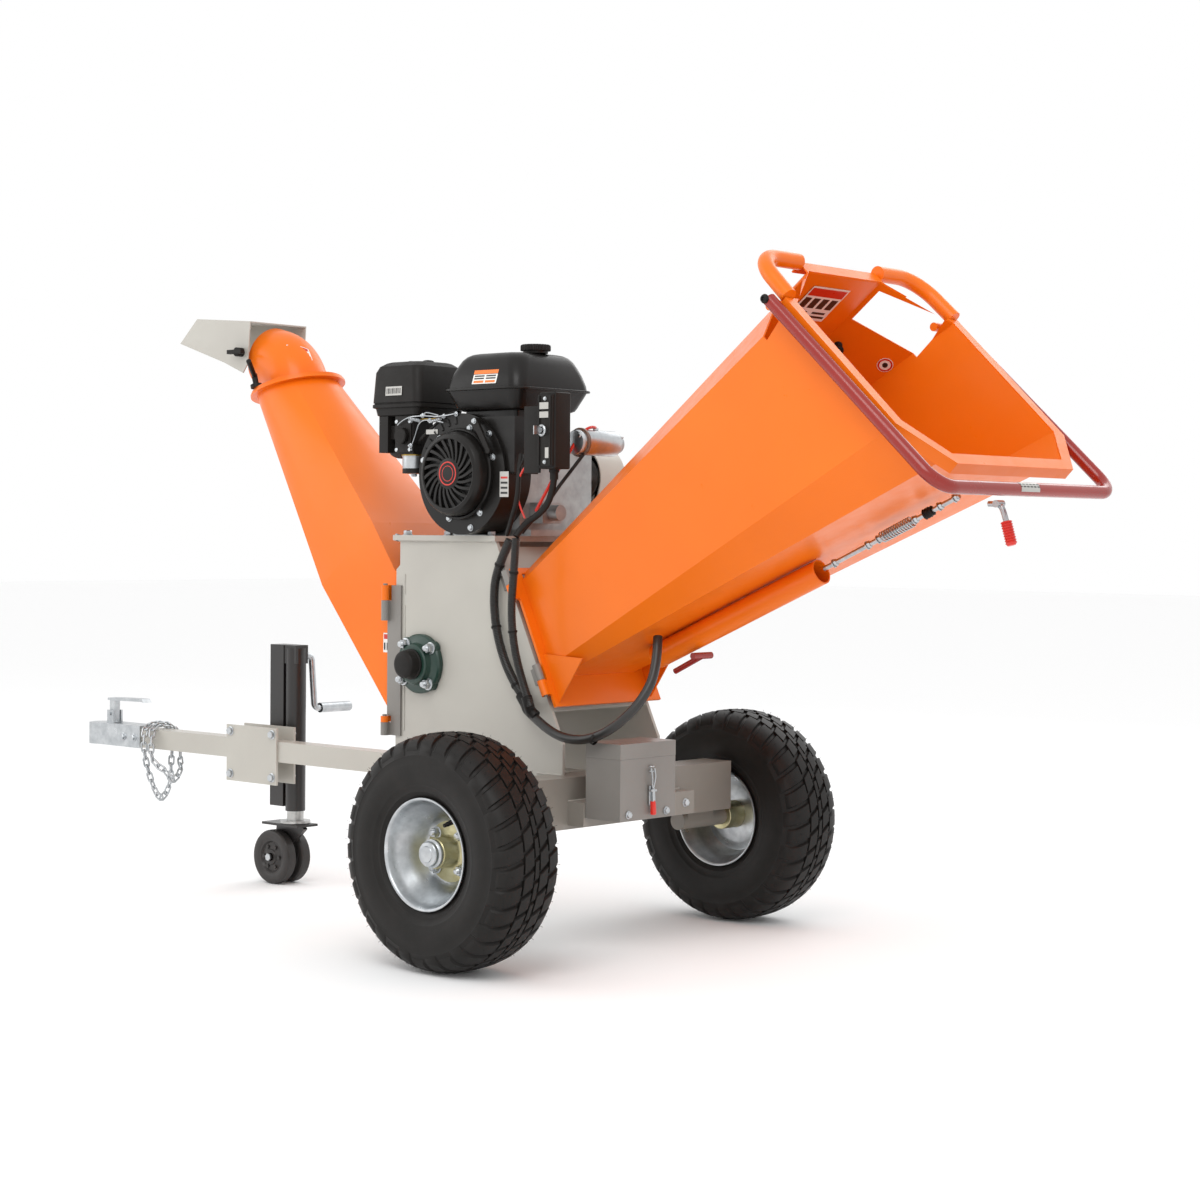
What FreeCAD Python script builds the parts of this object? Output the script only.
import FreeCAD, Part
import math
import os
import re
import Sketcher

# Towable drum wood chipper: petrol engine, belt-driven rotor, tilting infeed hopper, swinging
# discharge chute, ball-coupler drawbar with a jockey wheel. Millimetres, +Z up, +X towards the hopper.
# Every size below is measured from the point on the ground under the middle of the road-wheel axle;
# each sub-part's Placement then shifts it by axle_x, so that the origin is the middle of the footprint.

V = FreeCAD.Vector

SIZES = {
    # whole machine
    "axle_x": 378.8, "gap": 0.3, "running_gap": 0.05, "sheet_t": 3,
    # road wheels and axle
    "wheel_y": 462, "tyre_r": 241.5, "tyre_half": 89, "bead_r": 104, "bead_half": 66,
    "rim_r": 114, "rim_half": 76, "rim_well_r": 92, "hub_r": 31, "hub_flange_r": 62,
    "stub_r": 20, "stub_end": 500, "axle_z": 241.5, "wheel_stud_pcd": 100,
    "beam_rear": -20, "beam_front": 60, "beam_low": 266, "beam_top": 374, "beam_half": 365, "beam_t": 5,
    "cross_front": 105, "cross_low": 275, "cross_top": 325, "cross_half": 180,
    # drawbar and coupler
    "bar_half": 25, "bar_low": 317, "bar_top": 367, "bar_end": -1640, "bar_t": 4,
    "ball_x": -1790, "ball_r": 25.4, "coupler_half": 31, "coupler_rear": -1590, "coupler_top": 373,
    "latch_x": -1738, "latch_z": 396, "latch_pin_r": 4,
    # jockey jack
    "jack_x": -1100, "jack_y": 78, "jack_r": 25, "jack_bore_r": 21.6, "leg_r": 21, "jack_top": 600,
    "jack_low": 186, "channel_x": -1150, "swing_x": -1141, "swing_z": 330, "boss_r": 18,
    "caster_x": -1150, "caster_z": 68, "caster_r": 68, "caster_axle_r": 6, "crank_z": 572,
    # housing
    "plate_y": 150, "plate_t": 8, "house_rear": -487, "house_low": 317, "house_top": 865,
    "slope_x": -146, "slope_z": 800, "lean": 0.4694, "engine_plate_t": 12, "engine_plate_x": -172,
    "rotor_x": -401, "rotor_z": 592, "drum_r": 84, "knife_r": 100, "shaft_r": 17.5, "drum_half": 140,
    "casing_r": 112, "flange_r": 66,
    # chute
    "chute_x": -513, "chute_half": 128, "chute_low": 447, "chute_top": 782, "hinge_x": -508, "hinge_y": -172,
    "barrel_r": 9, "pin_r": 5, "collar_x": -1007, "collar_z": 1226, "collar_r": 100, "elbow_r": 76,
    "elbow_bend": 90, "hood_half": 90, "hood_pivot_x": -1112, "hood_pivot_z": 1318,
    # hopper
    "mouth_x": 610, "mouth_z": 1405, "mouth_low_x": 1030, "mouth_low_z": 1005, "lip": 28,
    "bar_tube_r": 13, "bar_pivot_x": 672, "bar_pivot_z": 1322, "bar_side_y": 305,
    "bar_low_x": 1052, "bar_low_z": 972, "grip_r": 16,
    # battery box
    "box_rear": 106, "box_front": 201, "box_near": -175, "box_far": 0, "box_low": 293, "box_split": 420,
    "box_top": 452,
    # engine and belt drive
    "crank_x": -248, "crank_z_engine": 1010, "engine_low": 877.3, "shroud_r": 131, "recoil_r": 92,
    "pulley_y": 198, "pulley_w": 38, "small_pulley_r": 48, "big_pulley_r": 78, "belt_t": 9,
    "crank_r": 12.7, "guard_clear": 24, "guard_y": 176, "guard_w": 84,
}

doc = FreeCAD.newDocument("wood_chipper")
sheet = doc.addObject("Spreadsheet::Sheet", "Sizes")
for row, (alias, number) in enumerate(SIZES.items(), start=1):
    sheet.set("A%d" % row, alias)
    sheet.set("B%d" % row, str(number))
    sheet.setAlias("B%d" % row, alias)
doc.recompute()

PARTS = []
SPOTS = {}


def bound(text):
    """An expression in which each size's name points at its cell."""
    def cell(word):
        return "Sizes." + word.group() if word.group() in SIZES else word.group()
    return re.sub(r"[a-z][a-z_0-9]*", cell, str(text))


def size(text):
    """The number that an expression of sizes comes to."""
    return float(sheet.evalExpression(bound(text)))


def point(x, y, z):
    """A vector from three expressions of sizes."""
    return V(size(x), size(y), size(z))


def place(piece, x, y, z):
    """Binds a piece's place to the sheet."""
    SPOTS[piece.Name] = x
    for axis, text in zip("xyz", (x, y, z)):
        piece.setExpression("Placement.Base." + axis, bound(text))
    return piece


def box(x0, x1, y0, y1, z0, z1):
    """A block between two corners."""
    piece = doc.addObject("Part::Box", "Block")
    for name, low, high in (("Length", x0, x1), ("Width", y0, y1), ("Height", z0, z1)):
        piece.setExpression(name, bound("(%s) - (%s)" % (high, low)))
    return place(piece, x0, y0, z0)


def rod(axis, start, end, a, b, radius):
    """A round bar along X, Y or Z; a and b are its place across the other two axes, in X, Y, Z order."""
    piece = doc.addObject("Part::Cylinder", "Rod")
    piece.setExpression("Radius", bound(radius))
    piece.setExpression("Height", bound("(%s) - (%s)" % (end, start)))
    turn = {"X": (V(0, 1, 0), 90), "Y": (V(1, 0, 0), -90), "Z": (V(0, 0, 1), 0)}[axis]
    piece.Placement = FreeCAD.Placement(V(0, 0, 0), FreeCAD.Rotation(*turn))
    spot = {"X": (start, a, b), "Y": (a, start, b), "Z": (a, b, start)}[axis]
    return place(piece, *spot)


def fuse(*pieces):
    """Pieces welded into one solid."""
    weld = doc.addObject("Part::MultiFuse", "Weld")
    weld.Shapes = list(pieces)
    weld.Refine = True
    return place(weld, "0", "0", "0")


def cut(base, *tools):
    """A piece with others taken away."""
    result = doc.addObject("Part::Cut", "Cut")
    result.Base = base
    result.Tool = tools[0] if len(tools) == 1 else fuse(*tools)
    return place(result, "0", "0", "0")


def group(*pieces):
    """Separate solids that share a node."""
    result = doc.addObject("Part::Compound", "Set")
    result.Links = list(pieces)
    return place(result, "0", "0", "0")


def mirror(piece):
    """The same piece on the other side of the machine."""
    result = doc.addObject("Part::Mirroring", "Mirror")
    result.Source = piece
    result.Normal = V(0, 1, 0)
    return place(result, "0", "0", "0")


def tube(axis, start, end, a, b, outer, inner):
    """A round tube."""
    return cut(rod(axis, start, end, a, b, outer), rod(axis, start, end, a, b, inner))


def sketch_on(body, plane, outline):
    """A closed outline on one of the body's planes, each corner bound to the sheet."""
    sketch = body.newObject("Sketcher::SketchObject", "Outline")
    origin_plane = [f for f in body.Origin.OriginFeatures if f.Role == plane + "_Plane"][0]
    sketch.AttachmentSupport = (origin_plane, [""])
    sketch.MapMode = "FlatFace"
    corners = [V(size(a), size(b), 0) for a, b in outline]
    for i, corner in enumerate(corners):
        sketch.addGeometry(Part.LineSegment(corner, corners[(i + 1) % len(corners)]), False)
    for i in range(len(corners)):
        sketch.addConstraint(Sketcher.Constraint("Coincident", i, 2, (i + 1) % len(corners), 1))
    for i, corner in enumerate(corners):
        for kind, start, text in (("DistanceX", corner.x, outline[i][0]), ("DistanceY", corner.y, outline[i][1])):
            number = sketch.addConstraint(Sketcher.Constraint(kind, -1, 1, i, 1, start))
            sketch.setExpression("Constraints[%d]" % number, bound(text))
    return sketch


def plate(plane, outline, start, thick):
    """A flat plate cut to an outline in XZ, YZ or XY, from start to start + thick across it."""
    body = doc.addObject("PartDesign::Body", "Plate")
    sketch = sketch_on(body, plane, outline)
    pad = body.newObject("PartDesign::Pad", "Pad")
    pad.Profile = sketch
    pad.setExpression("Length", bound(thick))
    spot = {"XZ": ("0", "(%s) + (%s)" % (start, thick), "0"), "YZ": (start, "0", "0"), "XY": ("0", "0", start)}
    return place(body, *spot[plane])


def turned(outline, x, y, z, turn=0):
    """A piece turned about the Y axis; the outline is (radius, distance along Y)."""
    body = doc.addObject("PartDesign::Body", "Turned")
    sketch = sketch_on(body, "XY", outline)
    revolution = body.newObject("PartDesign::Revolution", "Revolution")
    revolution.Profile = sketch
    revolution.ReferenceAxis = (sketch, ["V_Axis"])
    revolution.Angle = 360
    body.Placement = FreeCAD.Placement(V(0, 0, 0), FreeCAD.Rotation(V(0, 0, 1), turn))
    return place(body, x, y, z)


def formed(shape):
    """A piece whose shape is made by Part's own functions."""
    piece = doc.addObject("Part::Feature", "Formed")
    piece.Shape = shape
    return place(piece, "0", "0", "0")


def loft(*sections):
    """A solid with flat or ruled sides through closed polygons."""
    return Part.makeLoft([Part.makePolygon(list(s) + [s[0]]) for s in sections], True, True)


def bent(points, radius, bend=None, report=None):
    """A round bar of straight runs joined by tangent arcs; with no bend, each arc is as large as it can be."""
    edges = []
    last = points[0]
    for before, corner, after in zip(points, points[1:], points[2:]):
        way_in = (corner - before).normalize()
        way_out = (after - corner).normalize()
        half = way_in.getAngle(way_out) / 2
        shorter = min((corner - before).Length, (after - corner).Length)
        arc = bend or 0.45 * shorter / math.tan(half)
        back = arc * math.tan(half)
        inward = (way_out - way_in).normalize()
        start = corner - way_in * back
        middle = corner + inward * (arc / math.cos(half) - arc)
        end = corner + way_out * back
        edges.append(Part.LineSegment(last, start).toShape())
        edges.append(Part.Arc(start, middle, end).toShape())
        last = end
        if report:
            print("%s arc radius %.1f mm" % (report, arc))
    edges.append(Part.LineSegment(last, points[-1]).toShape())
    path = Part.Wire(edges)
    ring = Part.Wire(Part.makeCircle(radius, points[0], points[1] - points[0]))
    solid = path.makePipeShell([ring], True, True)
    if report:
        expected = math.pi * radius ** 2 * path.Length
        print("%s length %.0f mm, volume %.3f of section times length" % (report, path.Length, solid.Volume / expected))
    return solid


def sub_part(label, piece):
    """Names a finished sub-part and shifts it to the row's origin."""
    piece.Label = label
    piece.setExpression("Placement.Base.x", bound("axle_x + (%s)" % SPOTS[piece.Name]))
    PARTS.append(piece)


# ---- road wheels: balloon tyre, two-piece pressed rim, turned hub -----------------------------------
TYRE = [("bead_r", "-bead_half"), ("140", "-84"), ("168", "-tyre_half"), ("205", "-82"), ("227", "-66"),
        ("tyre_r - 4", "-40"), ("tyre_r", "-12"), ("tyre_r", "12"), ("tyre_r - 4", "40"), ("227", "66"),
        ("205", "82"), ("168", "tyre_half"), ("140", "84"), ("bead_r", "bead_half"),
        ("bead_r + 8", "54"), ("160", "76"), ("200", "70"), ("225", "38"), ("230", "0"), ("225", "-38"),
        ("200", "-70"), ("160", "-76"), ("bead_r + 8", "-54")]
RIM = [("48", "-8"), ("rim_well_r - 4", "-8"), ("rim_well_r - 4", "28"), ("bead_r - 4", "36"),
       ("bead_r - 4", "rim_half - 4"), ("rim_r", "rim_half - 3"), ("rim_r", "rim_half"),
       ("bead_r - 9", "rim_half"), ("bead_r - 9", "38"), ("rim_well_r - 8", "31"), ("rim_well_r - 8", "-4"),
       ("48", "-4")]
RIM_BACK = [("rim_well_r - 8", "-8.2"), ("rim_well_r - 8", "-30"), ("bead_r - 8", "-38"),
            ("bead_r - 8", "-rim_half"), ("rim_r", "-rim_half"), ("rim_r", "-rim_half + 3"),
            ("bead_r - 4", "-rim_half + 4"), ("bead_r - 4", "-36"), ("rim_well_r - 4", "-28"),
            ("rim_well_r - 4", "-8.2")]
HUB = [("stub_r + running_gap", "-60"), ("hub_r", "-60"), ("hub_r", "-4"), ("hub_flange_r", "-3.8"),
       ("hub_flange_r", "4"), ("hub_r", "4"), ("hub_r", "52"), ("hub_r - 8", "58"), ("hub_r - 10", "70"),
       ("0", "70"), ("0", "40"), ("stub_r + running_gap", "40")]
for side, y, turn in (("near", "-wheel_y", 180), ("far", "wheel_y", 0)):
    sub_part(side + "_tyre", turned(TYRE, "0", y, "axle_z", turn))
    sub_part(side + "_rim", group(turned(RIM, "0", y, "axle_z", turn), turned(RIM_BACK, "0", y, "axle_z", turn)))
    nuts = []
    for step in range(4):
        angle = math.radians(45 + 90 * step)
        x = "wheel_stud_pcd / 2 * %.4f" % math.cos(angle)
        z = "axle_z + wheel_stud_pcd / 2 * %.4f" % math.sin(angle)
        ends = ("-wheel_y - 16", "-wheel_y - 4.1") if side == "near" else ("wheel_y + 4.1", "wheel_y + 16")
        nuts.append(rod("Y", ends[0], ends[1], x, z, "8"))
    sub_part(side + "_hub", group(turned(HUB, "0", y, "axle_z", turn), *nuts))

# ---- axle: rectangular beam with a stub shaft welded under each end ------------------------------------
beam = cut(box("beam_rear", "beam_front", "-beam_half", "beam_half", "beam_low", "beam_top"),
           box("beam_rear + beam_t", "beam_front - beam_t", "-beam_half", "beam_half",
               "beam_low + beam_t", "beam_top - beam_t"))
stub = fuse(rod("Y", "250", "stub_end", "0", "axle_z", "stub_r"),
            box("-stub_r", "stub_r", "262", "352", "axle_z", "beam_low"))

# crossbars in front of the beam and at the rear of the housing carry the side plates
front_bar = box("beam_front", "cross_front", "-cross_half", "cross_half", "cross_low", "cross_top")
rear_bar = box("house_rear + 6", "house_rear + 56", "-plate_y - plate_t", "plate_y + plate_t", "267", "house_low")
sub_part("axle_beam", group(beam, stub, mirror(stub), front_bar, rear_bar))

# ---- drawbar: square tube from the axle to the coupler --------------------------------------------------
drawbar = cut(box("bar_end", "beam_rear", "-bar_half", "bar_half", "bar_low", "bar_top"),
              box("bar_end", "beam_rear", "-bar_half + bar_t", "bar_half - bar_t", "bar_low + bar_t",
                  "bar_top - bar_t"))
sub_part("drawbar", drawbar)

# ---- ball coupler: pressed shell over the end of the drawbar, with a socket for a 50 mm ball --------------
shell = fuse(box("ball_x + 20", "coupler_rear", "-coupler_half", "coupler_half", "bar_low - 2", "coupler_top"),
             rod("Z", "bar_low - 2", "coupler_top - 2", "ball_x", "0", "36"),
             box("ball_x", "ball_x + 40", "-coupler_half", "coupler_half", "bar_low - 2", "coupler_top - 2"),
             box("latch_x - 14", "latch_x + 14", "-15", "-10", "coupler_top - 2", "latch_z + 10"),
             box("latch_x - 14", "latch_x + 14", "10", "15", "coupler_top - 2", "latch_z + 10"),
             rod("Y", "-18", "18", "latch_x", "latch_z", "latch_pin_r"))
coupler = cut(shell,
              rod("Z", "bar_low - 3", "bar_low + 34", "ball_x", "0", "ball_r"),
              box("bar_end - gap", "coupler_rear + 1", "-bar_half - gap", "bar_half + gap", "bar_low - 3",
                  "bar_top + gap"))
sub_part("coupler_body", coupler)
neck = box("latch_x - 10", "latch_x + 10", "-9", "9", "coupler_top + 4", "latch_z + 42")
grip = plate("XZ", [("latch_x - 14", "latch_z + 42"), ("latch_x + 24", "latch_z + 44"), ("latch_x + 132", "latch_z + 46"),
                    ("latch_x + 140", "latch_z + 36"), ("latch_x + 128", "latch_z + 38"), ("latch_x + 24", "latch_z + 36"),
                    ("latch_x - 14", "latch_z + 36")], "-13", "26")
sub_part("coupler_latch", cut(fuse(neck, grip),
                              rod("Y", "-20", "20", "latch_x", "latch_z", "latch_pin_r + running_gap")))
frame_bolts = []
for x in ("coupler_rear - 18", "coupler_rear - 38"):
    frame_bolts.append(rod("Y", "-coupler_half - 5", "-coupler_half", x, "342", "8"))
    frame_bolts.append(rod("Y", "coupler_half", "coupler_half + 5", x, "342", "8"))


# ---- safety chain: two loops of short link chain slung over the drawbar ----------------------------------
def chain_link(wire, length, width):
    """One link about the origin, its length along X and its width along Y."""
    half = (length - width) / 2
    bow = (width - wire) / 2
    a, b, c, d = V(-half, bow, 0), V(half, bow, 0), V(half, -bow, 0), V(-half, -bow, 0)
    edges = [Part.LineSegment(a, b).toShape(), Part.Arc(b, V(half + bow, 0, 0), c).toShape(),
             Part.LineSegment(c, d).toShape(), Part.Arc(d, V(-half - bow, 0, 0), a).toShape()]
    ring = Part.Wire(Part.makeCircle(wire / 2, a, V(1, 0, 0)))
    return Part.Wire(edges).makePipeShell([ring], True, True)


def chain(points, wire, length, width, closed):
    """Links along a smooth curve, each turned a quarter turn from the one before."""
    curve = Part.BSplineCurve()
    curve.interpolate(Points=points, PeriodicFlag=closed)
    edge = curve.toShape()
    pitch = length - 2 * wire - 0.8
    count = 2 * round(edge.Length / pitch / 2)
    spots = edge.discretize(Number=count + 1)
    link = chain_link(wire, length, width)
    links = []
    for i in range(count if closed else count - 1):
        along = (spots[i + 1] - spots[i]).normalize()
        middle = (spots[i + 1] + spots[i]) * 0.5
        turn = FreeCAD.Rotation(V(1, 0, 0), along) * FreeCAD.Rotation(V(1, 0, 0), 45 + 90 * (i % 2))
        copy = link.copy()
        copy.Placement = FreeCAD.Placement(middle, turn)
        links.append(copy)
    return links


def slung_loop(x, lean_x, low, reach):
    """The points of a chain loop that lies over the drawbar and hangs down each side of it."""
    top = size("bar_top") + 13
    return [V(x, 0, top), V(x - 2, 24, top - 2), V(x + lean_x * 0.2, 43, top - 30), V(x + lean_x * 0.5, 40, top - 100),
            V(x + lean_x, reach, low + 26), V(x + lean_x, 0, low), V(x + lean_x, -reach, low + 26),
            V(x + lean_x * 0.5, -40, top - 100), V(x + lean_x * 0.2, -43, top - 30), V(x - 2, -24, top - 2)]


links = chain(slung_loop(-1560, 22, 186, 22), 5, 31, 18, True) + chain(slung_loop(-1532, 42, 236, 24), 5, 31, 18, True)
sub_part("safety_chains", formed(Part.makeCompound(links)))

# ---- jockey jack: bracket, swinging outer tube, screw leg, side crank and twin castor ----------------------
bracket = fuse(box("-1236", "-1046", "bar_half + gap", "31", "260", "400"),
               rod("Y", "31", "45", "swing_x", "swing_z", "boss_r"))
near_bracket = box("-1236", "-1046", "-31", "-bar_half - gap", "260", "400")
sub_part("jack_bracket", group(bracket, near_bracket))
for x in ("-1220", "-1062"):
    for z in ("278", "384"):
        frame_bolts.append(rod("Y", "-38", "-31", x, z, "9"))
        frame_bolts.append(rod("Y", "31", "36", x, z, "9"))
        frame_bolts.append(rod("Y", "-bar_half", "bar_half", x, z, "5"))
swing_plate = box("-1186", "-1090", "32", "40", "286", "374")
sleeve = fuse(rod("Z", "jack_low", "jack_top - 8", "jack_x", "jack_y", "jack_r"),
              box("channel_x - 22", "jack_x - 22", "jack_y - 22", "jack_y + 22", "jack_low + 10", "jack_top"),
              swing_plate,
              box("-1186", "-1090", "40", "60", "312", "348"),
              box("channel_x - 6", "jack_x + 22", "jack_y - 20", "jack_y + 20", "jack_top - 46", "jack_top"))
outer_tube = cut(sleeve,
                 rod("Y", "31", "61", "swing_x", "swing_z", "boss_r + running_gap"),
                 rod("Z", "jack_low - 1", "jack_top - 60", "jack_x", "jack_y", "jack_bore_r"),
                 rod("Y", "jack_y - 5", "jack_y + 26", "jack_x", "crank_z", "8.3"))
screw = rod("Z", "jack_top - 200", "jack_top - 60", "jack_x", "jack_y", "7")
sub_part("jack_outer_tube", group(outer_tube, screw))
leg = cut(fuse(rod("Z", "162", "jack_top - 70", "jack_x", "jack_y", "leg_r"),
               rod("Z", "156", "162", "jack_x", "jack_y", "38")),
          rod("Z", "jack_top - 210", "jack_top - 69", "jack_x", "jack_y", "9"),
          rod("Z", "150", "176", "jack_x", "jack_y", "8 + running_gap"))
sub_part("jack_leg", leg)
crank = formed(bent([point("jack_x", "jack_y - 4", "crank_z"), point("jack_x", "jack_y + 50", "crank_z"),
                     point("jack_x + 6", "jack_y + 56", "crank_z - 132"),
                     point("jack_x + 6", "jack_y + 150", "crank_z - 132")], 8, 13))
hand_grip = cut(rod("Y", "jack_y + 74", "jack_y + 172", "jack_x + 6", "crank_z - 132", "12.5"),
                rod("Y", "jack_y + 73", "jack_y + 152", "jack_x + 6", "crank_z - 132", "8.05"))
sub_part("jack_crank", group(crank, hand_grip))
fork_side = [("jack_x + 34", "147"), ("jack_x + 40", "142"), ("jack_x - 20", "90"), ("caster_x - 16", "caster_z - 12"),
             ("caster_x - 24", "caster_z + 4"), ("jack_x - 64", "146"), ("jack_x - 40", "149")]
fork = fuse(plate("XZ", fork_side, "jack_y - 6", "12"),
            box("jack_x - 88", "jack_x + 46", "jack_y - 34", "jack_y + 34", "148", "154"),
            rod("Z", "148", "174", "jack_x", "jack_y", "8"),
            rod("Y", "jack_y - 42", "jack_y + 42", "caster_x", "caster_z", "caster_axle_r"))
sub_part("caster_fork", fork)
caster = []
for y0, y1 in (("jack_y - 39", "jack_y - 8"), ("jack_y + 8", "jack_y + 39")):
    caster.append(tube("Y", y0, y1, "caster_x", "caster_z", "caster_r", "caster_axle_r + running_gap"))
sub_part("caster_wheels", group(*caster))

# ---- housing: two laser-cut side plates with the rotor casing between them --------------------------------
slope_foot = "slope_x + (slope_z - 455) * lean"
slope_head = "slope_x + (slope_z - house_top) * lean"
side_outline = [("house_rear", "house_low"), ("beam_rear - gap", "house_low"), ("beam_rear - gap", "beam_top"),
                ("24", "beam_top"), ("24", "440"), (slope_foot, "455"), (slope_head, "house_top"),
                ("house_rear + 12", "house_top"), ("house_rear + 12", "810"), ("house_rear", "800")]
near_plate = cut(plate("XZ", side_outline, "-plate_y - plate_t", "plate_t"),
                 rod("Y", "-plate_y - plate_t - 1", "-plate_y + 1", "rotor_x", "rotor_z", "24"))
sub_part("side_plates", group(near_plate, mirror(near_plate)))
sub_part("engine_plate", box("house_rear - 4", "engine_plate_x", "-plate_y - 16", "plate_y + 16", "house_top",
                             "house_top + engine_plate_t"))
casing_ring = cut(rod("Y", "-plate_y + gap", "plate_y - gap", "rotor_x", "rotor_z", "casing_r + 5"),
                  rod("Y", "-plate_y", "plate_y", "rotor_x", "rotor_z", "casing_r"),
                  box("rotor_x - 140", "rotor_x + 140", "-plate_y - 1", "plate_y + 1", "rotor_z", "rotor_z + 140"),
                  box("rotor_x - 140", "house_rear + 6", "-plate_y - 1", "plate_y + 1", "rotor_z - 140", "rotor_z + 1"))
roof = [("house_rear + 10", "786"), ("slope_x + (slope_z - 776) * lean - 30", "786"),
        ("slope_x + (slope_z - 776) * lean - 30", "781"), ("house_rear + 10", "781")]
roof_plate = plate("XZ", roof, "-plate_y + gap", "plate_y * 2 - gap * 2")
floor = [("rotor_x + casing_r + 6", "rotor_z + 4"), ("slope_x + (slope_z - 590) * lean - 14", "596"),
         ("slope_x + (slope_z - 590) * lean - 14", "586"), ("rotor_x + casing_r + 6", "rotor_z - 6")]
floor_plate = plate("XZ", floor, "-plate_y + gap", "plate_y * 2 - gap * 2")

sub_part("anvil_knife", box("rotor_x + knife_r + 4", "rotor_x + knife_r + 64", "-130", "130", "rotor_z + 4.2",
                            "rotor_z + 16"))


def slanted(x0, x1, y0, y1, down, up):
    """A block on the sloping front: x along the slope's normal, height measured from slope_z down it."""
    piece = doc.addObject("Part::Box", "Sloped")
    piece.setExpression("Length", bound("(%s) - (%s)" % (x1, x0)))
    piece.setExpression("Width", bound("(%s) - (%s)" % (y1, y0)))
    piece.setExpression("Height", bound("(%s) - (%s)" % (down, up)))
    run = size("lean")
    steep = math.hypot(1, run)
    normal_x, normal_z = 1 / steep, run / steep
    tilt = FreeCAD.Rotation(V(0, 1, 0), -math.degrees(math.atan(run)))
    piece.Placement = FreeCAD.Placement(V(0, 0, 0), tilt)
    return place(piece, "slope_x + (%s) * %.5f + (%s) * %.5f" % (x0, normal_x, down, normal_z), y0,
                 "slope_z + (%s) * %.5f - (%s) * %.5f" % (x0, normal_z, down, normal_x))


def slope_point(out, y, down):
    """A point out from the sloping front and down it from slope_z."""
    run = size("lean")
    steep = math.hypot(1, run)
    return V(size("slope_x") + (out + down * run) / steep, y, size("slope_z") + (out * run - down) / steep)


def slope_rod(out, y, down, up, radius):
    """A round bar along the slope."""
    low = slope_point(out, y, down)
    return formed(Part.makeCylinder(radius, down - up, low, slope_point(out, y, up) - low))


inlet_frame = cut(slanted("0 - 7", "0 - 1", "-plate_y + gap", "plate_y - gap", "322", "0 - 60"),
                  slanted("0 - 20", "12", "-132", "132", "222", "14"))
sub_part("rotor_casing", group(casing_ring, roof_plate, floor_plate, inlet_frame))

# ---- hinge leaf and pins for the chute, on the near rear edge ----------------------------------------------
leaf = [box("hinge_x - 2", "house_rear + 20", "-plate_y - plate_t - 5", "-plate_y - plate_t", "427", "764")]
for low, high in (("427", "456"), ("685", "730")):
    leaf.append(rod("Z", low, high, "hinge_x", "hinge_y", "barrel_r"))
    leaf.append(box("hinge_x - 2", "hinge_x + 8", "hinge_y", "-plate_y - plate_t - 4", low, high))
    leaf.append(rod("Z", low, "(%s) + 44" % high, "hinge_x", "hinge_y", "pin_r"))
notches = [box("hinge_x - 11", "hinge_x + 11", "-plate_y - 30", "-plate_y", "456", "470.6"),
           box("hinge_x - 11", "hinge_x + 11", "-plate_y - 30", "-plate_y", "730", "765")]
leaf_body = fuse(leaf[0], leaf[1], leaf[2], leaf[4], leaf[5])
chute_leaf = fuse(cut(leaf_body, *notches),
                  rod("Z", "450", "474", "hinge_x", "hinge_y", "pin_r"),
                  rod("Z", "720", "768", "hinge_x", "hinge_y", "pin_r"))

# ---- rotor: shaft, drum, two bolted knives and the driven pulley --------------------------------------------
drum = fuse(rod("Y", "-drum_half", "drum_half", "rotor_x", "rotor_z", "drum_r"),
            rod("Y", "-186", "pulley_y + pulley_w + 12", "rotor_x", "rotor_z", "shaft_r"))
pockets = [box("rotor_x + 20", "rotor_x + 66", "-122", "122", "rotor_z + 66", "rotor_z + 90"),
           box("rotor_x - 66", "rotor_x - 20", "-122", "122", "rotor_z - 90", "rotor_z - 66")]
sub_part("rotor_drum", cut(drum, *pockets))
knives = [box("rotor_x + 20", "rotor_x + 62", "-122", "122", "rotor_z + 66", "rotor_z + 78"),
          box("rotor_x - 62", "rotor_x - 20", "-122", "122", "rotor_z - 78", "rotor_z - 66")]
sub_part("rotor_knives", group(*knives))
BIG_PULLEY = [("shaft_r + 0.05", "0"), ("big_pulley_r", "0"), ("big_pulley_r", "4"), ("big_pulley_r - 10", "8"),
              ("big_pulley_r - 10", "pulley_w - 8"), ("big_pulley_r", "pulley_w - 4"), ("big_pulley_r", "pulley_w"),
              ("shaft_r + 0.05", "pulley_w")]
sub_part("rotor_pulley", turned(BIG_PULLEY, "rotor_x", "pulley_y", "rotor_z"))
bearing = cut(fuse(rod("Y", "-174", "-plate_y - plate_t", "rotor_x", "rotor_z", "flange_r"),
                   rod("Y", "-192", "-174", "rotor_x", "rotor_z", "44")),
              rod("Y", "-193", "-157", "rotor_x", "rotor_z", "shaft_r + running_gap"))
studs = []
for step in range(4):
    angle = math.radians(40 + 90 * step)
    x = "rotor_x + 56 * %.4f" % math.cos(angle)
    z = "rotor_z + 56 * %.4f" % math.sin(angle)
    studs.append(rod("Y", "-196", "-174", x, z, "5"))
    studs.append(rod("Y", "-184", "-174", x, z, "9.5"))
frame_bolts += [fuse(stud, nut) for stud, nut in zip(studs[::2], studs[1::2])]
sub_part("frame_bolts", group(*frame_bolts))
cap = cut(fuse(rod("Y", "-222", "-192", "rotor_x", "rotor_z", "31"), rod("Y", "-197", "-192", "rotor_x", "rotor_z", "37")),
          rod("Y", "-216", "-192", "rotor_x", "rotor_z", "24"))
sub_part("bearing_housings", group(bearing, mirror(bearing), cap))

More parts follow.
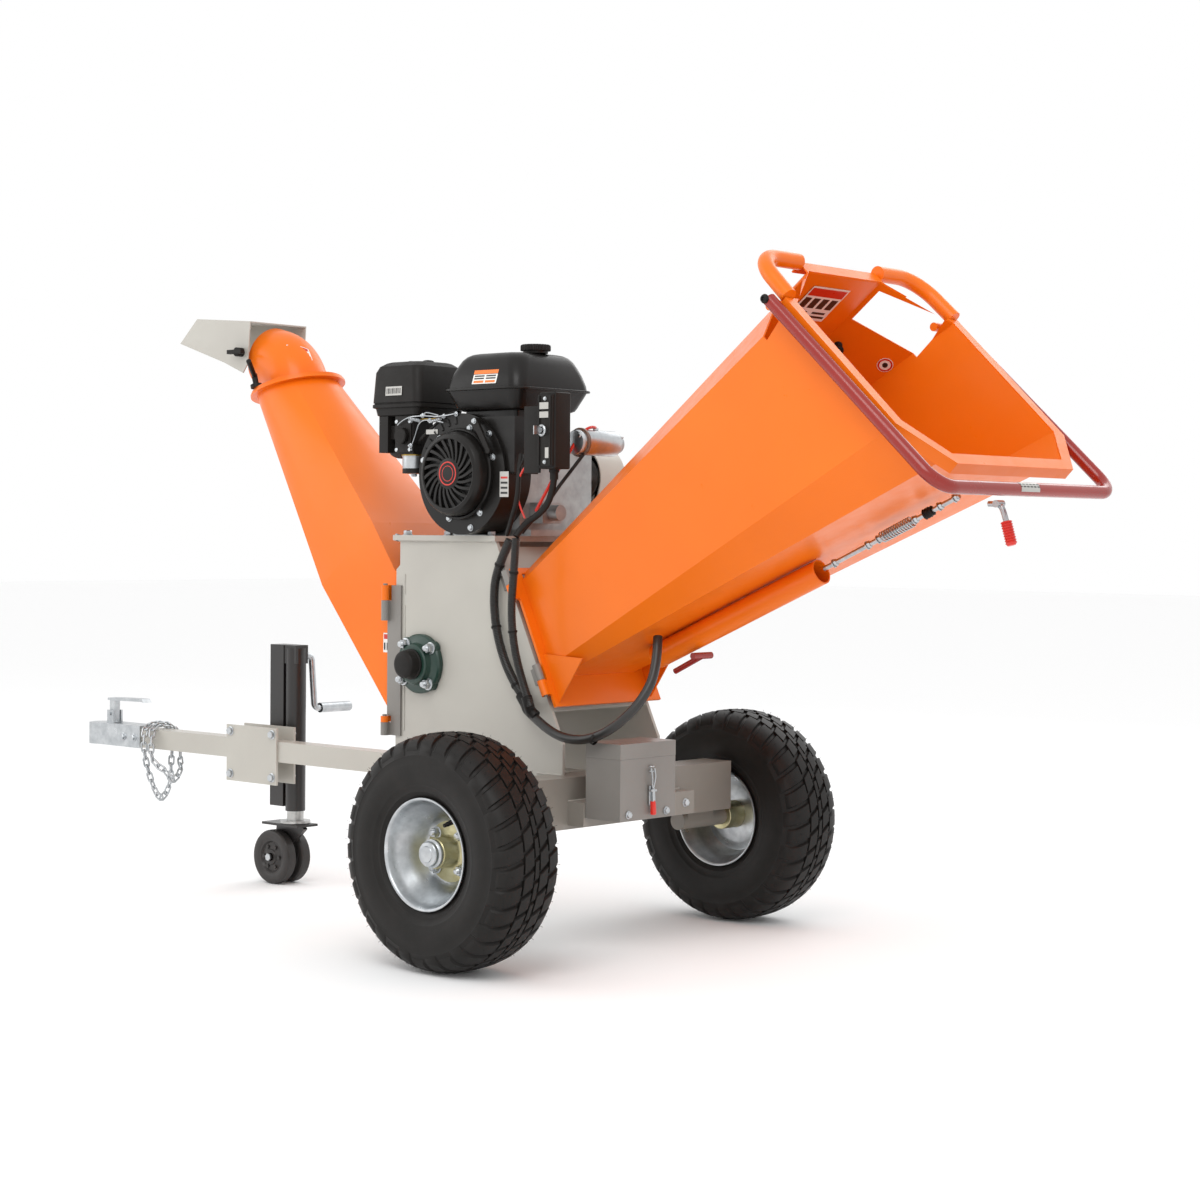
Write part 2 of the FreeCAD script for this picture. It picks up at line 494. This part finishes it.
# ---- engine: crankcase, barrel, shrouds, tank, filter, fuel and electrics ------------------------------------
crankcase = cut(fuse(box("-350", "-150", "-112", "118", "engine_low + 14", "1100"),
                     box("-376", "-128", "-100", "106", "engine_low", "engine_low + 14"),
                     rod("Y", "-112", "150", "crank_x", "crank_z_engine", "62"),
                     box("-150", "-112", "-80", "-20", "905", "950")),
                rod("Y", "-113", "151", "crank_x", "crank_z_engine", "crank_r + running_gap"))
fins = [box("-452", "-350", "-70", "70", "990", "1085")]
for step in range(6):
    x = -360 - 17 * step
    fins.append(box("%d" % (x - 4), "%d" % x, "-84", "84", "974", "1098"))
valve_cover = box("-494", "-452", "-66", "66", "992", "1084")
oil_cap = rod("X", "-112", "-86", "-50", "928", "17")
sub_part("engine_block", group(crankcase, fuse(*fins), valve_cover, oil_cap))
crankshaft = fuse(rod("Y", "-150", "pulley_y + pulley_w + 12", "crank_x", "crank_z_engine", "crank_r"),
                  rod("Y", "-176", "-116", "crank_x", "crank_z_engine", "104"))
sub_part("crankshaft_flywheel", crankshaft)
SMALL_PULLEY = [(a.replace("big", "small").replace("shaft_r", "crank_r"), b) for a, b in BIG_PULLEY]
sub_part("engine_pulley", turned(SMALL_PULLEY, "crank_x", "pulley_y", "crank_z_engine"))
shroud = cut(fuse(rod("Y", "-194", "-112.3", "crank_x", "crank_z_engine", "shroud_r"),
                  box("crank_x - 60", "-96", "-186", "-112.3", "crank_z_engine", "1132")),
             rod("Y", "-190", "-112", "crank_x", "crank_z_engine", "shroud_r - 8"),
             rod("Y", "-195", "-189", "crank_x", "crank_z_engine", "78"))
sub_part("blower_housing", shroud)
RECOIL = [("0", "0"), ("86", "0"), ("recoil_r", "-6"), ("recoil_r", "-20"), ("84", "-38"), ("74", "-42"), ("0", "-42")]
sub_part("recoil_cover", turned(RECOIL, "crank_x", "-194", "crank_z_engine"))
tank = formed(loft([V(-288, -180, 1146), V(-92, -180, 1146), V(-92, 18, 1146), V(-288, 18, 1146)],
                   [V(-303, -197, 1190), V(-77, -197, 1190), V(-77, 38, 1190), V(-303, 38, 1190)],
                   [V(-300, -194, 1200), V(-80, -194, 1200), V(-80, 35, 1200), V(-300, 35, 1200)],
                   [V(-276, -168, 1272), V(-106, -168, 1272), V(-106, 10, 1272), V(-276, 10, 1272)]))
seam = box("-310", "-70", "-204", "45", "1190", "1194")
sub_part("fuel_tank", fuse(tank, seam))
sub_part("fuel_cap", rod("Z", "1272.4", "1291", "-137", "-80", "33"))
sub_part("air_filter", formed(loft(
    [V(-532, -200, 1141), V(-378, -200, 1141), V(-378, -40, 1141), V(-532, -40, 1141)],
    [V(-534, -200, 1228), V(-378, -200, 1228), V(-378, -40, 1228), V(-534, -40, 1228)],
    [V(-508, -180, 1268), V(-380, -182, 1268), V(-380, -50, 1268), V(-508, -50, 1268)])))
carb = fuse(box("-462", "-404", "-188", "-128", "1056", "1141"),
            rod("Z", "1014", "1056", "-432", "-158", "26"),
            box("-512", "-484", "-190", "-150", "1060", "1141"),
            box("-484", "-462", "-180", "-150", "1090", "1120"))
sub_part("carburettor", carb)
sub_part("muffler", box("-520", "-362", "88", "166", "1020", "1150"))
starter = fuse(rod("Y", "-128", "12", "22", "1076", "27"), rod("Y", "-142", "-128", "22", "1076", "20"),
               box("-96", "10", "-138", "-120", "1058", "1092"))
sub_part("starter_motor", starter)
sub_part("control_box", box("-14", "34", "-206", "-150", "1018", "1178"))
sub_part("ignition_key", fuse(rod("Y", "-212", "-206", "2", "1098", "8"), box("0", "4", "-232", "-212", "1086", "1110")))
lever = fuse(plate("XZ", [("-197", "1128"), ("-183", "1128"), ("-143", "1062"), ("-155", "1056")], "-204", "6"),
             rod("Y", "-210", "-195", "-190", "1122", "9"),
             box("-157", "-141", "-214", "-198", "1052", "1064"))
sub_part("throttle_lever", lever)


# ---- belt drive: V-belt pair and its guard on the far side ----------------------------------------------------
def drive_outline(extra_engine, extra_rotor, y):
    """A face round both pulleys, each circle's radius larger than its pulley by the extra given."""
    low = point("rotor_x", y, "rotor_z")
    high = point("crank_x", y, "crank_z_engine")
    low_r = size("big_pulley_r") + extra_rotor
    high_r = size("small_pulley_r") + extra_engine
    along = high - low
    facing = math.atan2(along.z, along.x)
    lean_angle = math.acos((low_r - high_r) / along.Length)

    def at(centre, radius, angle):
        return centre + V(radius * math.cos(angle), 0, radius * math.sin(angle))

    first, last = facing + lean_angle, facing - lean_angle
    edges = [Part.Arc(at(low, low_r, first), at(low, low_r, facing + math.pi), at(low, low_r, last)).toShape(),
             Part.LineSegment(at(low, low_r, last), at(high, high_r, last)).toShape(),
             Part.Arc(at(high, high_r, last), at(high, high_r, facing), at(high, high_r, first)).toShape(),
             Part.LineSegment(at(high, high_r, first), at(low, low_r, first)).toShape()]
    return Part.Face(Part.Wire(edges))


belt_w = size("pulley_w") - 17
belt_y = "pulley_y + 8.5"
belt = drive_outline(-9.5 + size("belt_t"), -9.5 + size("belt_t"), belt_y).extrude(V(0, belt_w, 0))
belt = belt.cut(drive_outline(-9.5, -9.5, belt_y).extrude(V(0, belt_w, 0)))
sub_part("drive_belt", formed(belt))
clear = size("guard_clear")
guard = drive_outline(clear + 3, clear + 3, "guard_y").extrude(V(0, size("guard_w"), 0))
guard = guard.cut(drive_outline(clear, clear, "guard_y").extrude(V(0, size("guard_w") - 3, 0)))
sub_part("belt_guard", formed(guard))

# ---- battery box on the front crossbar --------------------------------------------------------------------
battery_box = cut(box("box_rear", "box_front", "box_near", "box_far", "box_low", "box_split"),
                  box("box_rear + 3", "box_front - 3", "box_near + 3", "box_far - 3", "box_low + 3", "box_split"))
sub_part("battery_box", battery_box)
lid = cut(box("box_rear - gap", "box_front + gap", "box_near - gap", "box_far + gap", "box_split + gap", "box_top"),
          box("box_rear + 3", "box_front - 3", "box_near + 3", "box_far - 3", "box_split", "box_top - 3"))
sub_part("battery_lid", lid)
sub_part("battery", box("box_rear + 10", "box_front - 10", "box_near + 12", "box_far - 12", "box_low + 3", "box_split + 14"))
sub_part("box_latch", fuse(box("box_front + 1", "box_front + 6", "-90", "-72", "346", "410"),
                           box("box_front + 1", "box_front + 14", "-87", "-75", "300", "350")))

# ---- discharge chute: bent sheet duct from the rotor to a round collar -------------------------------------
def chute_duct(inset):
    """The duct's solid, drawn in from its outer skin by inset."""
    half = size("chute_half") - inset
    x = size("chute_x")
    low = size("chute_low") + inset
    top = size("chute_top") - inset
    front = [V(x, -half, low), V(x, half, low), V(x, half, top), V(x, -half, top)]
    waist = 118 - inset
    back, roof_line = V(-782 + 0.75 * inset, 0, 757 - 0.4 * inset), V(-611 - 0.8 * inset, 0, 905 - 0.5 * inset)
    bend = [V(back.x, -waist, back.z), V(back.x, waist, back.z), V(roof_line.x, waist, roof_line.z),
            V(roof_line.x, -waist, roof_line.z)]
    centre = point("collar_x", "0", "collar_z")
    across = V(0.961, 0, 0.277)
    radius = size("collar_r") - inset
    ring = []
    for step in range(4):
        start, stop = [math.radians(225 - 90 * step - 90 * k) for k in (0, 1)]
        middle = (start + stop) / 2
        spots = [centre + across * (radius * math.cos(a)) + V(0, radius * math.sin(a), 0)
                 for a in (start, middle, stop)]
        ring.append(Part.Arc(*spots).toShape())
    lower = loft([front[0], front[1], front[2], front[3]], bend)
    upper = Part.makeLoft([Part.makePolygon(bend + [bend[0]]), Part.Wire(ring)], True, True)
    return lower, upper


def joined(shapes):
    """Shapes fused into one, with seams in one plane removed."""
    result = shapes[0]
    for other in shapes[1:]:
        result = result.fuse(other)
    return result.removeSplitter()


collar = point("collar_x", "0", "collar_z")
collar_axis = V(-0.277, 0, 0.961)
outer_duct = joined(chute_duct(0))
inner_duct = joined(chute_duct(size("sheet_t")))
collar_ring = Part.makeCylinder(116, 5, collar, collar_axis).cut(
    Part.makeCylinder(97, 7, collar - collar_axis, collar_axis))
mouth_ring = Part.makeBox(6, 290, 362, V(size("chute_x"), -138, 434)).cut(
    Part.makeBox(8, 248, 326, V(size("chute_x") - 1, -124, 451)))
duct = outer_duct.cut(inner_duct)
duct = joined([duct, collar_ring, mouth_ring])
hinge_arm = fuse(formed(duct),
                 box("chute_x", "chute_x + 6", "hinge_y + 9", "-130", "456.4", "470"),
                 box("chute_x", "chute_x + 6", "hinge_y + 9", "-130", "730.4", "764"),
                 box("chute_x", "hinge_x", "hinge_y", "hinge_y + 12", "456.4", "470"),
                 box("chute_x", "hinge_x", "hinge_y", "hinge_y + 12", "730.4", "764"),
                 rod("Z", "456.4", "470", "hinge_x", "hinge_y", "barrel_r"),
                 rod("Z", "730.4", "764", "hinge_x", "hinge_y", "barrel_r"))
sub_part("discharge_chute", cut(hinge_arm,
                                rod("Z", "455", "471", "hinge_x", "hinge_y", "pin_r + running_gap"),
                                rod("Z", "729", "765", "hinge_x", "hinge_y", "pin_r + running_gap")))


def elbow_solid(radius, start_out):
    """The elbow's pipe: a short straight run out of the collar, then a bend towards the drawbar."""
    start = collar + collar_axis * start_out
    bend = size("elbow_bend")
    side = V(-0.961, 0, -0.277)
    turn = math.radians(60)
    hub = start + collar_axis * (12 - start_out)
    arc = [hub + side * (bend * (1 - math.cos(a))) + collar_axis * (bend * math.sin(a)) for a in (0, turn / 2, turn)]
    outlet = collar_axis * math.cos(turn) + side * math.sin(turn)
    path = Part.Wire([Part.LineSegment(start, hub).toShape(), Part.Arc(*arc).toShape(),
                      Part.LineSegment(arc[2], arc[2] + outlet * 30).toShape()])
    ring = Part.Wire(Part.makeCircle(radius, start, collar_axis))
    return path.makePipeShell([ring], True, True)


elbow = elbow_solid(size("elbow_r"), 5.3).cut(elbow_solid(size("elbow_r") - 3, 5.3))
elbow_flange = Part.makeCylinder(112, 6, collar + collar_axis * 5.3, collar_axis).cut(
    Part.makeCylinder(74.5, 8, collar + collar_axis * 4, collar_axis))
sub_part("chute_elbow", formed(joined([elbow, elbow_flange])))
clamp_spot = collar + V(0.961 * -30, -104, 0.277 * -30) + collar_axis * 11.6
clamp = joined([Part.makeCylinder(7, 34, clamp_spot, collar_axis),
                Part.makeCylinder(6, 66, clamp_spot + collar_axis * 28, V(0.5, -0.7, 0.5)),
                Part.makeCylinder(14, 8, clamp_spot, collar_axis)])

# ---- deflector hood: folded sheet over the elbow's mouth -----------------------------------------------------
hood_outline = [("-1082", "1392"), ("-1285", "1408"), ("-1352", "1350"), ("-1180", "1296"), ("-1108", "1268"), ("-1090", "1290")]
hood_inner = [("-1080", "1388.8"), ("-1284", "1404.8"), ("-1349", "1349"), ("-1352", "1320"), ("-1180", "1280"),
              ("-1080", "1240")]
hood = cut(plate("XZ", hood_outline, "-hood_half", "hood_half * 2"),
           plate("XZ", hood_inner, "-hood_half + 3", "hood_half * 2 - 6"))
sub_part("deflector_hood", hood)
knob = fuse(rod("Y", "-hood_half - 18", "-hood_half", "hood_pivot_x", "hood_pivot_z", "11"),
            box("hood_pivot_x - 26", "hood_pivot_x + 26", "-hood_half - 26", "-hood_half - 14", "hood_pivot_z - 5",
                "hood_pivot_z + 5"))
sub_part("chute_knobs", group(knob, mirror(knob), formed(clamp)))

# ---- infeed hopper: folded sheet funnel, base plate, lips and gussets ------------------------------------------
mouth_top = point("mouth_x", "0", "mouth_z")
mouth_down = (point("mouth_low_x", "0", "mouth_low_z") - mouth_top).normalize()
mouth_out = V(-mouth_down.z, 0, mouth_down.x)


def mouth_point(y, down, out=0):
    """A point on the hopper's mouth: across, down the mouth from its top edge, and out of it."""
    return mouth_top + mouth_down * down + mouth_out * out + V(0, y, 0)


def octagon(half_top, half_wide, half_low, rows, spot, grow=0):
    """Eight corners, counted round from the top near corner; rows are the four levels."""
    a, b, c, d = rows
    left = [(-half_top - 0.4 * grow, a - grow), (-half_wide - grow, b - 0.4 * grow),
            (-half_wide - grow, c + 0.4 * grow), (-half_low - 0.4 * grow, d + grow)]
    right = [(-y, row) for y, row in reversed(left)]
    return [spot(y, row) for y, row in left + right]


def throat_spot(y, down):
    return slope_point(21, y, down)


def mouth_spot(y, down):
    return mouth_point(y, down)


THROAT = (118, 137, 118, (12, 32, 228, 250))
MOUTH = (120, 262, 190, (20, 130, 455, 540))
funnel = loft(octagon(*THROAT, throat_spot, 3), octagon(*MOUTH, mouth_spot, 3))
funnel = funnel.cut(loft(octagon(*THROAT, throat_spot), octagon(*MOUTH, mouth_spot)))
lip_size = size("lip")
lip = Part.Face(Part.makePolygon([*octagon(*MOUTH, mouth_spot, lip_size), octagon(*MOUTH, mouth_spot, lip_size)[0]]))
hole = Part.Face(Part.makePolygon([*octagon(*MOUTH, mouth_spot, 1), octagon(*MOUTH, mouth_spot, 1)[0]]))
rim = lip.cut(hole).extrude(mouth_out * 3)
fold = lip.cut(Part.Face(Part.makePolygon([*octagon(*MOUTH, mouth_spot, lip_size - 3),
                                          octagon(*MOUTH, mouth_spot, lip_size - 3)[0]])))
fold = fold.extrude(mouth_out * -22)
corner_cuts = []
for side in (-1, 1):
    notch = [mouth_point(side * y, down, -100) for y, down in ((128, -70), (330, -70), (330, 118), (246, 118), (128, 24))]
    corner_cuts.append(Part.Face(Part.makePolygon(notch + [notch[0]])).extrude(mouth_out * 130))
body = joined([funnel, rim, fold])
for notch in corner_cuts:
    body = body.cut(notch)
gussets = []
for y in (-150, 147):
    side_web = [slope_point(21, y, 200), slope_point(21, y, 312), slope_point(120, y, 252)]
    gussets.append(Part.Face(Part.makePolygon(side_web + [side_web[0]])).extrude(V(0, 3, 0)))
base = cut(slanted("15", "21", "0 - 163", "plate_y + 28", "320", "0"), slanted("10", "26", "0 - 134", "134", "228", "14"))
barrels = []
for down, up in ((72, 38), (292, 258)):
    barrels.append(slope_rod(15, -176, down, up, 9))
    barrels.append(slanted("12", "21", "0 - 176", "0 - 160", str(down), str(up)))
hinged = fuse(formed(body), base, *barrels)
pin_holes = [slope_rod(15, -176, down + 1, up - 1, 5.05) for down, up in ((72, 38), (292, 258))]

leaf_parts = []
for down, up in ((37.4, 4), (257.4, 222)):
    leaf_parts.append(fuse(slope_rod(15, -176, down, up, 9), slope_rod(15, -176, down + 36, up, 5),
                           slanted("4", "14.5", "0 - 172", "0 - 158", str(down), str(up)),
                           slanted("0 - 16", "4", "0 - 163", "0 - 158", str(down), str(up))))
sub_part("hinge_leaves", group(chute_leaf, *leaf_parts))

# ---- grab handles: tubes across the open top corners of the mouth ----------------------------------------------
handles = []
for side in (-1, 1):
    spots = [mouth_point(side * 132, -6, 4), mouth_point(side * 268, -6, 4), mouth_point(side * 277, 116, 4)]
    handles.append(formed(bent(spots, size("grip_r"), 70)))
sub_part("grab_handles", group(*handles))

# ---- safety bar: red stop hoop round the mouth ------------------------------------------------------------------
hoop_points = []
for x, y, z in (("bar_pivot_x", "-bar_side_y", "bar_pivot_z"), ("bar_low_x", "-bar_side_y", "bar_low_z"),
                ("bar_low_x", "bar_side_y", "bar_low_z"), ("bar_pivot_x", "bar_side_y", "bar_pivot_z")):
    hoop_points.append(point(x, y, z))
sub_part("safety_bar", formed(bent(hoop_points, size("bar_tube_r"), 46)))
pivots = []
for side in (-1, 1):
    start = point("bar_pivot_x", "0", "bar_pivot_z") + V(0, side * 291.7, 0) - mouth_out * 14
    pivots.append(Part.makeCylinder(9, 36, start - V(0, side * 36, 0), V(0, side, 0)))
sub_part("hopper", group(cut(hinged, *pin_holes), formed(Part.makeCompound(gussets + pivots))))

# ---- under the hopper: cable cover, stop linkage, release lever and latch -----------------------------------------
run_start, run_end = V(150, 0, 626), V(575, 0, 812)
cover = Part.makeCylinder(26, (run_end - run_start).Length, run_start, run_end - run_start)
cover = cover.cut(Part.makeCylinder(23, (run_end - run_start).Length, run_start, run_end - run_start))
sub_part("cable_cover", formed(cover))
pull = V(0.91, 0, 0.4146)
rod_start = V(580, 0, 817)
rod_shape = Part.makeCylinder(5, 352, rod_start, pull)
spring_shape = Part.makeCylinder(12, 76, rod_start + pull * 154, pull).cut(
    Part.makeCylinder(8, 80, rod_start + pull * 152, pull))
sub_part("stop_linkage", formed(Part.makeCompound([rod_shape, spring_shape])))
sub_part("release_lever", fuse(formed(bent([V(962, 0, 946), V(986, 0, 946), V(1000, 0, 915), V(1012, 0, 872)], 6, 10)),
                               formed(Part.makeCylinder(11, 62, V(996, 0, 926), V(0.3, 0, -0.954)))))
sub_part("latch_pin", fuse(formed(Part.makeCylinder(6, 84, V(198, 0, 596), V(0.9, 0, 0.436))),
                           formed(Part.makeCylinder(7, 60, V(270, -30, 632), V(0, 1, 0)))))

# ---- wiring loom: corrugated conduit down the near side plate, and its free loop to the hopper -----------------
loom_a = [V(-124, -169, 868), V(-160, -173, 805), V(-168, -173, 735), V(-154, -173, 655), V(-114, -173, 572),
          V(-58, -173, 516)]
loom_b = [V(-62, -215, 872), V(-70, -212, 800), V(-80, -210, 724), V(-74, -207, 645), V(-50, -206, 572), V(-24, -206, 520)]
sub_part("wiring_loom", formed(Part.makeCompound([bent(loom_a, 10), bent(loom_b, 9)])))
loop_route = [V(-44, -192, 508), V(10, -196, 474), V(78, -199, 455), V(148, -199, 462), V(206, -184, 496),
              V(240, -152, 546), V(246, -116, 604), V(226, -90, 672)]
sub_part("loom_loop", formed(bent(loop_route, 10, report="loom_loop")))

# ---- check every object, then write one file for each sub-part ------------------------------------------------
doc.recompute()
for item in doc.Objects:
    if "Invalid" in item.State or "Error" in item.State:
        raise RuntimeError("%s (%s) failed: %s" % (item.Name, item.Label, item.State))
os.makedirs("parts", exist_ok=True)
for piece in PARTS:
    if piece.Shape.isNull() or not piece.Shape.isValid() or not piece.Shape.Solids:
        raise RuntimeError("%s has no valid solid" % piece.Label)
    piece.Shape.exportStep(os.path.join("parts", piece.Label + ".step"))
print("%d sub-parts written" % len(PARTS))
